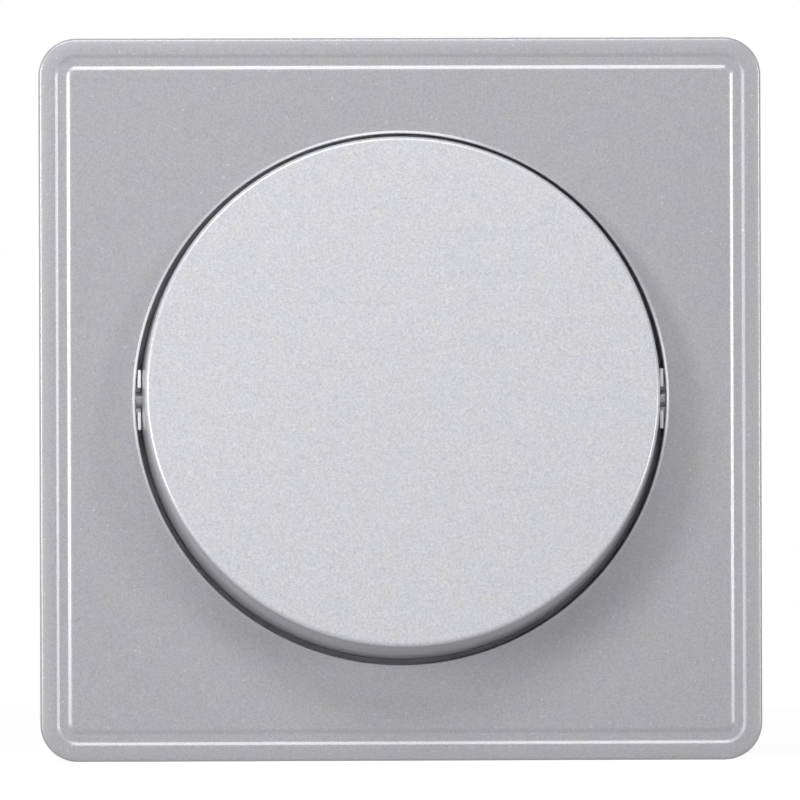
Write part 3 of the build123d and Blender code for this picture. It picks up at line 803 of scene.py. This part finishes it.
@dataclass
class CoverFrame:
    """The square frame: crowned rim, sloped channel, flat panel, round opening, hooks behind."""

    side: float = 80.0
    corner: float = 4.1
    front: float = 46.0
    back: float = 33.0
    draft: float = 3.5
    edge: float = 0.3
    rim: float = 1.8
    rim_fall: float = 0.22
    rim_loops: tuple[float, ...] = (0.45, 0.7, 1.0, 1.4)
    outer_slope: float = 0.4
    channel_floor: float = 0.88
    inner_slope: float = 0.46
    channel_depth: float = 0.18
    channel_softness: float = 0.07
    panel_softness: float = 0.14
    support: float = 0.05
    opening: float = 29.35
    bead: tuple[Point, ...] = ((0.38, 0.0), (0.35, 0.008), (0.16, 0.09), (0.11, 0.102),
                               (0.06, 0.082), (0.02, 0.02), (0.0, -0.08))
    collar: float = 30.85
    collar_depth: float = 5.5
    collar_chamfer: float = 0.2
    roof: float = 44.0
    sunk: float = 0.5
    wall: float = 1.31
    notch_near: float = 28.37
    notch_far: float = 33.2
    notch_half: float = 4.6
    notch_roof: float = 0.95
    hook_angles: tuple[float, ...] = (22.0, 158.0, 202.0, 338.0)
    hook_radius: float = 34.25
    hook_wall: float = 1.2
    hook_half: float = 3.5
    hook_low: float = 37.8
    hook_bite: float = 0.8
    hook_cuts: int = 6
    hook_barb: Point = (0.6, 1.1)
    rib_inset: float = 2.1
    rib_length: float = 14.0
    rib_thickness: float = 1.0
    rib_depth: float = 3.0
    line_reach: Point = (0.06, 0.02)
    corner_steps: int = 14
    circle_steps: int = 224

    def rim_level(self, inward: float) -> float:
        """Give the height of the crowned rim.

        Args:
            inward: The distance from the frame's outer side.

        Returns:
            The level.
        """
        return self.front - self.rim_fall * (1 - inward / self.rim) ** 2

    def body(self) -> Shape:
        """Model the outside: drafted sides, rounded edge, crowned rim and channel.

        Returns:
            The frame's body, with its panel's face selected.
        """
        depth = self.rim_level(0) - self.back
        back_side = self.side - 2 * depth * tan(radians(self.draft))
        shape = Shape.plate("frame_moulding", back_side, self.corner, self.back, self.corner_steps)
        shape.extrude(depth, self.side / back_side)
        inward = 0.0
        for following in (*self.rim_loops, self.rim):
            self.inset(following - inward, self.rim_level(following) - self.rim_level(inward))
            inward = following
        self.inset(self.outer_slope, -self.channel_depth)
        self.inset(self.channel_floor)
        self.inset(self.inner_slope, self.channel_depth)
        return shape

    def inset(self, width: float, rise: float = 0.0) -> None:
        """Draw the selected face in.

        Args:
            width: How far.
            rise: How much higher the face comes to lie.
        """
        bpy.ops.mesh.inset(thickness=width, depth=rise, use_even_offset=True)

    def from_edge(self, spot: Vector) -> float:
        """Give a place's distance from the frame's rounded outer side.

        Args:
            spot: The place.

        Returns:
            The distance inwards.
        """
        reach = self.side / 2 - self.corner
        past_x, past_y = abs(spot.x) - reach, abs(spot.y) - reach
        if past_x > 0 and past_y > 0:
            return self.corner - (past_x ** 2 + past_y ** 2) ** 0.5
        return self.corner - max(past_x, past_y)

    def soften(self, shape: Shape) -> None:
        """Round the outer edge and the four lines of the channel.

        Args:
            shape: The frame's body.
        """
        floor = self.front - self.channel_depth
        floor_start = self.rim + self.outer_slope
        floor_end = floor_start + self.channel_floor
        lines = ((0.0, self.rim_level(0), self.edge, 6),
                 (self.rim, self.front, self.channel_softness, 3),
                 (floor_start, floor, self.channel_softness, 3),
                 (floor_end, floor, self.channel_softness, 3),
                 (floor_end + self.inner_slope, self.front, self.panel_softness, 5))
        for inward, level, width, steps in lines:
            chosen = shape.choose(
                Kind.EDGE, lambda m: (abs(self.from_edge(m) - inward) < self.line_reach[0]
                                      and abs(m.z - level) < self.line_reach[1]),
                lambda d: abs(d.z) < TINY)
            shape.bevel(width, steps)
            LOG.info("frame line %.2f mm in: %d edges rounded", inward, chosen)

    def open_panel(self, shape: Shape) -> None:
        """Cut the round opening with its fine bead and collar, and hollow the back.

        Args:
            shape: The frame's body.
        """
        shape.choose(Kind.FACE, lambda m: abs(m.z - self.front) < NEAR and m.xy.length < 1,
                     lambda n: n.z > STRAIGHT)
        self.inset(self.support)
        bpy.ops.mesh.delete(type="ONLY_FACE")
        rounding = [(self.opening + out, self.front + rise) for out, rise in self.bead]
        low, cut = self.front - self.collar_depth, self.collar_chamfer
        path = [(rounding[0][0] + self.support, self.front), *rounding,
                (self.opening, low + cut), (self.opening + cut, low), (self.collar - cut, low),
                (self.collar, low + cut), (self.collar, self.roof)]
        bpy.ops.mesh.select_all(action="DESELECT")
        bpy.ops.mesh.primitive_circle_add(vertices=self.circle_steps, radius=path[0][0],
                                          location=(0, 0, self.front))
        bpy.context.tool_settings.mesh_select_mode = Kind.EDGE.value
        for before, after in zip(path, path[1:]):
            shape.ring_to(before, after)
        shape.choose(Kind.FACE, lambda m: abs(m.z - self.back) < NEAR,
                     lambda n: abs(n.z) > STRAIGHT)
        self.inset(self.wall)
        shape.extrude(self.roof - self.back)
        bpy.ops.mesh.delete(type="ONLY_FACE")
        for level in (self.front, self.roof):
            shape.choose(Kind.EDGE, lambda m: abs(m.z - level) < NEAR, open_only=True)
            bpy.ops.mesh.bridge_edge_loops()
        bpy.ops.mesh.select_all(action="SELECT")
        bpy.ops.mesh.normals_make_consistent(inside=False)

    def hooks(self) -> list[Shape]:
        """Model the four sprung arms behind the panel.

        Returns:
            The arms.
        """
        arms = []
        for number, angle in enumerate(self.hook_angles):
            arm = Shape.block(f"arm {number}", (self.hook_radius, -self.hook_half, self.hook_low),
                              (self.hook_radius + self.hook_wall, self.hook_half,
                               self.roof + self.sunk))
            arm.edit()
            arm.choose(Kind.FACE, lambda m: m.x < self.hook_radius + NEAR)
            bpy.ops.mesh.subdivide(number_cuts=self.hook_cuts)
            start, end = (self.hook_low + up for up in self.hook_barb)
            arm.choose(Kind.VERTEX, lambda v: v.x < self.hook_radius + NEAR and start < v.z < end)
            bpy.ops.transform.translate(value=(-self.hook_bite, 0, 0))
            arms.append(arm.turn(angle))
        return arms

    def ribs(self) -> list[Shape]:
        """Model the stiffening ribs across the corners.

        Returns:
            The ribs.
        """
        reach = self.side / 2 - self.rib_inset - self.rib_length / 3
        half, thick = self.rib_length / 2, self.rib_thickness / 2
        ribs = []
        for x, y in ((1, 1), (1, -1), (-1, 1), (-1, -1)):
            rib = Shape.block("rib", (-half, -thick, self.roof - self.rib_depth),
                              (half, thick, self.roof + self.sunk))
            rib.turn(45 if x * y > 0 else -45).shift(x * reach, y * reach, 0)
            ribs.append(rib)
        return ribs

    def build(self, material: bpy.types.Material) -> bpy.types.Object:
        """Build the whole frame.

        Args:
            material: Its lacquer.

        Returns:
            The finished frame.
        """
        shape = self.body()
        self.soften(shape)
        self.open_panel(shape)
        Shape.clear()
        for side in (-1, 1):
            near, far = sorted((side * self.notch_near, side * self.notch_far))
            notch = Shape.block("notch", (near, -self.notch_half, self.back - self.sunk),
                                (far, self.notch_half, self.front - self.notch_roof))
            shape.combine(notch, "DIFFERENCE")
        for extra in [*self.hooks(), *self.ribs()]:
            shape.combine(extra, "UNION")
        return shape.finish(Body.HOUSING, "cover_frame", "frame_lacquer", material)


@dataclass
class RockerCap:
    """The round rocker: flat face, soft edge, drafted side, pins, sleeve and ribs."""

    face_level: float = 6.7
    face_radius: float = 28.46
    radius: float = 28.84
    skirt_radius: float = 28.7
    skirt: float = 3.0
    wall: float = 1.5
    face_thickness: float = 1.6
    edge: float = 0.48
    edge_steps: int = 8
    skirt_chamfer: float = 0.25
    pin_radius: float = 1.0
    pin_chamfer: float = 0.2
    pin_reach: float = 30.9
    pin_flat: float = 28.6
    pad_radius: float = 2.6
    pad_depth: float = 2.0
    sleeve_radius: float = 4.0
    bore: float = 2.55
    sleeve_low: float = 8.0
    roof: float = 0.5
    rib_angles: tuple[float, ...] = (45.0, 135.0, 225.0, 315.0)
    rib_thickness: float = 1.0
    rib_height: float = 3.4
    rib_sunk: Point = (0.5, 0.8)
    sleeve_chamfer: Point = (0.3, 0.2)
    ring_radius: float = 16.0
    ring_height: float = 1.6
    support: float = 0.06
    steps: int = 240
    pin_steps: int = 32

    def outline(self) -> list[Point]:
        """Give half of the rocker's section, from the middle of the face to the sleeve's roof.

        Returns:
            The points as radius and level.
        """
        lean = degrees(atan2(self.radius - self.face_radius, self.face_level))
        reach = self.edge * tan(radians((90 - lean) / 2))
        centre = (self.face_radius - reach, self.face_level - self.edge)
        under = self.face_level - self.face_thickness
        half = self.rib_thickness / 2
        skirt, wall, skirt_cut = self.skirt_radius, self.wall, self.skirt_chamfer
        ring_out, ring_in = self.ring_radius + half, self.ring_radius - half
        sleeve, end, (outer_cut, inner_cut) = (self.sleeve_radius, -self.sleeve_low,
                                               self.sleeve_chamfer)
        return [
            (0, self.face_level), (centre[0] - self.support, self.face_level),
            *arc(centre, self.edge, 90, lean, self.edge_steps),
            (self.radius, 0), (skirt, -self.skirt + skirt_cut), (skirt - skirt_cut, -self.skirt),
            (skirt - wall, -self.skirt), (self.radius - wall, 0), (self.face_radius - wall, under),
            (ring_out, under), (ring_out, under - self.ring_height),
            (ring_in, under - self.ring_height), (ring_in, under),
            (sleeve, under), (sleeve, end + outer_cut), (sleeve - outer_cut, end),
            (self.bore + inner_cut, end), (self.bore, end + inner_cut),
            (self.bore, under - self.roof), (0, under - self.roof),
        ]

    def pin(self, side: int) -> Shape:
        """Model one trunnion pin with its pad.

        Args:
            side: 1 on the right, -1 on the left.

        Returns:
            The pin, lying along x.
        """
        inner = self.radius - self.wall
        pin = Shape.turned("pin", [
            (0, inner - self.pad_depth), (self.pad_radius, inner - self.pad_depth),
            (self.pad_radius, inner + self.wall / 2), (self.pin_radius, inner + self.wall / 2),
            (self.pin_radius, self.pin_reach - self.pin_chamfer),
            (self.pin_radius - self.pin_chamfer, self.pin_reach), (0, self.pin_reach)],
            self.pin_steps)
        return pin.turn(90 * side, "Y")

    def build(self, material: bpy.types.Material) -> bpy.types.Object:
        """Build the whole rocker.

        Args:
            material: Its lacquer.

        Returns:
            The finished rocker.
        """
        shape = Shape.turned("rocker_moulding", self.outline(), self.steps)
        under = self.face_level - self.face_thickness
        for side in (-1, 1):
            near, far = sorted((side * self.pin_flat, side * CUTTER_FAR))
            flat = Shape.block("flat", (near, -CUTTER_NEAR, -CUTTER_NEAR),
                               (far, CUTTER_NEAR, CUTTER_NEAR))
            shape.combine(flat, "DIFFERENCE")
        inwards, upwards = self.rib_sunk
        for angle in self.rib_angles:
            rib = Shape.block("rib", (self.sleeve_radius - inwards, -self.rib_thickness / 2,
                                      under - self.rib_height),
                              (self.face_radius - self.wall, self.rib_thickness / 2,
                               under + upwards))
            shape.combine(rib.turn(angle), "UNION")
        for side in (-1, 1):
            shape.combine(self.pin(side), "UNION")
        return shape.finish(Body.ROCKER, "rocker_cap", "rocker_lacquer", material, ROCKER_PLACE)


@dataclass
class BearingClip:
    """A white snap bearing: a block with a bore and a mouth, and two raised lips at the gap."""

    near: float = 28.72
    lip_far: float = 29.14
    far: float = 31.6
    half: float = 3.35
    low: float = 40.6
    body_top: float = 44.75
    lip_top: float = 45.9
    bore: float = 1.08
    neck: float = 0.9
    mouth: float = 1.37
    shoulder: float = 0.4
    shoulder_level: float = 44.5
    lip_softness: float = 0.16
    body_softness: float = 0.2
    overlap: float = 0.1
    past: float = 1.0
    bore_steps: int = 40

    def slit(self, name: str, half: float, level: float) -> Shape:
        """Model a block that cuts the bearing open to the front.

        Args:
            name: The block's name.
            half: Half of the slit's height.
            level: The level of its floor.

        Returns:
            The block.
        """
        return Shape.block(name, (CUTTER_NEAR, -half, level),
                           (CUTTER_FAR, half, self.lip_top + self.past))

    def build(self, side: int, material: bpy.types.Material) -> bpy.types.Object:
        """Build one snap bearing.

        Args:
            side: 1 on the right, -1 on the left.
            material: Its white plastic.

        Returns:
            The finished bearing.
        """
        where = "right" if side > 0 else "left"
        body = Shape.block(f"snap_bearing_{where}",
                           (self.lip_far - self.overlap, -self.half, self.low),
                           (self.far, self.half, self.body_top))
        body.edit()
        body.choose(Kind.EDGE, lambda m: m.x > self.far - NEAR)
        body.bevel(self.body_softness, 2)
        lip = Shape.block("lip", (self.near, -self.half, self.low),
                          (self.lip_far, self.half, self.lip_top))
        lip.edit()
        lip.choose(Kind.EDGE, lambda m: abs(m.y) > self.half - NEAR or m.z > self.lip_top - NEAR)
        lip.bevel(self.lip_softness, 3)
        body.combine(lip, "UNION")
        bore = Shape.turned("bore", [(0, CUTTER_NEAR), (self.bore, CUTTER_NEAR),
                                     (self.bore, CUTTER_FAR), (0, CUTTER_FAR)], self.bore_steps)
        bore.turn(90, "Y").shift(0, 0, AXIS_LEVEL)
        body.combine(bore, "DIFFERENCE")
        body.combine(self.slit("neck", self.neck, AXIS_LEVEL), "DIFFERENCE")
        mouth = self.slit("mouth", self.mouth, self.shoulder_level)
        mouth.edit()
        mouth.choose(Kind.EDGE, lambda m: (m.z < self.shoulder_level + NEAR
                                           and abs(m.y) > self.mouth - NEAR))
        mouth.bevel(self.shoulder, 1)
        body.combine(mouth, "DIFFERENCE")
        if side < 0:
            body.turn(180)
        return body.finish(Body.HOUSING, f"bearing_clip_{where}", "bearing_white", material)


@dataclass
class CoilSpring:
    """The plunger's spring, of round wire."""

    low: float = -2.92
    high: float = 4.32
    radius: float = 2.0
    wire: float = 0.25
    turns: int = 6
    travel: float = 1.0
    wire_steps: int = 12
    turn_steps: int = 32
    smooth: float = 40.0

    def build(self, material: bpy.types.Material) -> bpy.types.Object:
        """Build the spring.

        Args:
            material: The wire's finish.

        Returns:
            The finished spring.
        """
        section = arc((self.radius, self.low), self.wire, 0, 360, self.wire_steps)[:-1]
        pitch = (self.high - self.low) / self.turns
        shape = Shape.wound("coil_spring", section, self.turns, pitch, self.turn_steps)
        spring = shape.finish(Body.ROCKER, "plunger_spring", "spring_steel", material,
                              ROCKER_PLACE, self.smooth)
        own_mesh(spring)
        return spring


@dataclass
class ScrewSet:
    """Slotted pan head screws of one size with a cut thread, made once and copied."""

    name: str
    node: str
    radius: float
    length: float
    head_radius: float
    head_height: float
    places: Sequence[Matrix]
    pitch: float = 0.6
    thread_depth: float = 0.2
    slot_width: float = 0.8
    slot_depth: float = 0.7
    head_softness: float = 0.35
    chamfer: float = 0.1
    ridge_half: float = 0.42
    ridge_sunk: float = 0.06
    slot_reach: float = 9.0
    smooth: float = 35.0
    steps: int = 40
    thread_steps: int = 20

    def head_and_core(self) -> Shape:
        """Model the rounded head and the core under its thread.

        Returns:
            The turned shape with its slot.
        """
        core = self.radius - self.thread_depth
        corner = (self.head_radius - self.head_softness, self.head_height - self.head_softness)
        outline = [(0, self.head_height), *arc(corner, self.head_softness, 90, 0, 4),
                   (self.head_radius, self.chamfer), (self.head_radius - self.chamfer, 0),
                   (core, 0), (core, -self.length + core / 2), (core / 2, -self.length),
                   (0, -self.length)]
        shape = Shape.turned(self.name, outline, self.steps)
        half, reach = self.slot_width / 2, self.slot_reach
        slot = Shape.block("slot", (-reach, -half, self.head_height - self.slot_depth),
                           (reach, half, reach))
        shape.combine(slot, "DIFFERENCE")
        return shape

    def thread(self) -> Shape:
        """Wind the thread's ridge round the core.

        Returns:
            The ridge.
        """
        core = self.radius - self.thread_depth
        low = -self.length + core
        turns = int((-low - self.pitch) / self.pitch)
        root, half = core - self.ridge_sunk, self.pitch * self.ridge_half
        crest = half / 5
        section = [(root, low - half), (self.radius, low - crest),
                   (self.radius, low + crest), (root, low + half)]
        return Shape.wound("thread", section, turns, self.pitch, self.thread_steps)

    def build(self, material: bpy.types.Material) -> bpy.types.Object:
        """Build all the screws of the set.

        Args:
            material: Their finish.

        Returns:
            The finished screws, as one piece.
        """
        first = self.head_and_core()
        first.join([self.thread()])
        pattern = first.piece.data.copy()
        others = []
        for place in self.places[1:]:
            Shape.clear()
            bpy.ops.mesh.primitive_plane_add(size=1)
            other = Shape("screw")
            other.piece.data = pattern.copy()
            other.piece.data.transform(place)
            others.append(other)
        first.piece.data.transform(self.places[0])
        first.join(others)
        bpy.data.meshes.remove(pattern)
        return first.finish(Body.HOUSING, self.node, "screw_steel", material, smooth=self.smooth)


def screw_place(x: float, y: float, z: float, turn: float, side: int = 0) -> Matrix:
    """Give a screw's place, its head out of the wall or towards one side.

    Args:
        x: How far to the right.
        y: How far up the wall.
        z: How far out of the wall.
        turn: How far it is turned about itself, in degrees.
        side: 1 or -1 where its head faces right or left.

    Returns:
        The place.
    """
    tip = Matrix.Rotation(radians(90 * side), 4, "Y")
    return Matrix.Translation((x, y, z)) @ tip @ Matrix.Rotation(radians(turn), 4, "Z")


def screw_sets() -> list[ScrewSet]:
    """Give the switch's three sets of screws.

    Returns:
        The sets.
    """
    corner, plate_level = 27.0115, 36.0
    corners = ((-corner, -corner, 20), (-corner, corner, 65), (corner, -corner, 110),
               (corner, corner, 155))
    plate = [screw_place(x, y, plate_level, turn) for x, y, turn in corners]
    cover_reach, cover_level = 17.5, 38.0
    cover = [screw_place(0, cover_reach, cover_level, 35),
             screw_place(0, -cover_reach, cover_level, 80)]
    terminal_reach, contact_rise, contact_level, common_level = 18.8, 9.0, 22.486, 18.8
    ends = ((1, 0, common_level), (-1, contact_rise, contact_level),
            (-1, -contact_rise, contact_level))
    terminal = [screw_place(side * terminal_reach, y, z, 0, side) for side, y, z in ends]
    return [
        ScrewSet("threaded_plate_screws", "plate_screws", 1.5, 11.0, 2.8, 1.8, plate),
        ScrewSet("threaded_cover_screws", "cover_screws", 1.3, 12.0, 2.4, 1.4, cover, pitch=0.5),
        ScrewSet("threaded_terminal_screws", "terminal_screws", 1.75, 6.5, 3.0, 1.6, terminal),
    ]


@dataclass(frozen=True)
class Softbox:
    """One soft lamp that faces the switch: its place and size in metres and its power in watts."""

    name: str
    place: Place
    size: Point
    power: float

    def build(self) -> None:
        """Add the lamp."""
        data = bpy.data.lights.new(self.name, "AREA")
        data.shape = "RECTANGLE"
        data.size, data.size_y = self.size
        data.energy = self.power
        lamp = bpy.data.objects.new(self.name, data)
        lamp.visible_camera = False
        bpy.context.collection.objects.link(lamp)
        turned = (-Vector(self.place)).to_track_quat("-Z", "Y").to_matrix().to_4x4()
        lamp.matrix_world = Matrix.Translation(self.place) @ turned


SOFTBOXES = (
    Softbox("left softbox", (-0.33, -0.35, 0.05), (0.13, 0.2), 1.01),
    Softbox("right softbox", (0.44, -0.42, 0.03), (0.14, 0.17), 0.87),
    Softbox("top softbox", (-0.06, -0.33, 0.3), (0.34, 0.12), 0.81),
    Softbox("back softbox", (0.2, 1.2, 0.7), (1.2, 0.8), 4.0),
)


@dataclass
class Studio:
    """The pale floor, the soft lights, the white surround and the camera."""

    picture_side: float = 800.0
    pixels_per_mm: float = 9.044
    camera_distance: float = 3.0
    azimuth: float = -3.0
    roll: float = 0.18
    drop: float = 0.7
    aside: float = 0.82
    sensor: float = 36.0
    view_depth: float = 20.0
    floor_side: float = 0.9
    floor_colour: tuple[float, ...] = (0.3, 0.3, 0.3, 1.0)
    floor_glow: float = 0.9
    surround_light: float = 0.02
    surround_seen: float = 1.0

    def floor(self) -> None:
        """Lay the floor under the object."""
        low, _high = CAD_BOX
        bpy.ops.mesh.primitive_plane_add(size=self.floor_side, location=(0, 0, low[2]))
        floor = bpy.context.object
        floor.name = "floor"
        finish = Finish("pale floor")
        shader = finish.node("ShaderNodeBsdfDiffuse", None, {"Color": self.floor_colour})
        glow = finish.node("ShaderNodeEmission", None,
                           {"Color": WHITE, "Strength": self.floor_glow})
        both = finish.node("ShaderNodeAddShader", None, {0: shader, 1: glow})
        mixed = finish.node("ShaderNodeMixShader", None,
                            {0: finish.seen_rays(), 1: shader, 2: both})
        finish.node("ShaderNodeOutputMaterial", None, {"Surface": mixed})
        floor.data.materials.append(finish.material)

    def world(self) -> None:
        """Light the surround evenly, and show it white to the camera and in reflections."""
        world = bpy.data.worlds.new("surround")
        bpy.context.scene.world = world
        nodes = Nodes(world)
        plain, shown = (
            nodes.node("ShaderNodeBackground", None, {"Color": WHITE, "Strength": light})
            for light in (self.surround_light, self.surround_seen))
        mixed = nodes.node("ShaderNodeMixShader", None, {0: nodes.seen_rays(), 1: plain, 2: shown})
        nodes.node("ShaderNodeOutputWorld", None, {"Surface": mixed})

    def camera(self) -> None:
        """Set the camera at the photograph's viewing angle."""
        low, _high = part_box("cover_frame")
        turn = radians(self.azimuth)
        to_metres = MM / self.pixels_per_mm
        aim = Vector((-self.aside * to_metres, low[1], -self.drop * to_metres))
        back = Vector((sin(turn), -cos(turn), 0))
        data = bpy.data.cameras.new("camera")
        data.sensor_width = self.sensor
        data.lens = self.sensor * self.camera_distance / (self.picture_side * to_metres)
        data.clip_end = self.view_depth
        camera = bpy.data.objects.new("camera", data)
        bpy.context.collection.objects.link(camera)
        turned = (-back).to_track_quat("-Z", "Y").to_matrix().to_4x4()
        rolled = turned @ Matrix.Rotation(radians(-self.roll), 4, "Z")
        camera.matrix_world = Matrix.Translation(aim + back * self.camera_distance) @ rolled
        bpy.context.scene.camera = camera

    def build(self) -> None:
        """Set up the whole studio."""
        bpy.context.scene.view_settings.view_transform = "Standard"
        self.floor()
        self.world()
        for softbox in SOFTBOXES:
            softbox.build()
        self.camera()


def main() -> None:
    """Build the switch's looks."""
    logging.basicConfig(level=logging.INFO)
    CoverFrame().build(FRAME_LACQUER.make())
    RockerCap().build(ROCKER_LACQUER.make())
    acetal = WHITE_ACETAL.make()
    for side in (-1, 1):
        BearingClip().build(side, acetal)
    CoilSpring().build(SPRING_STEEL.make())
    zinc = SCREW_ZINC.make()
    for screws in screw_sets():
        screws.build(zinc)
    dress_nodes()
    Studio().build()


if __name__ == "__main__":
    main()
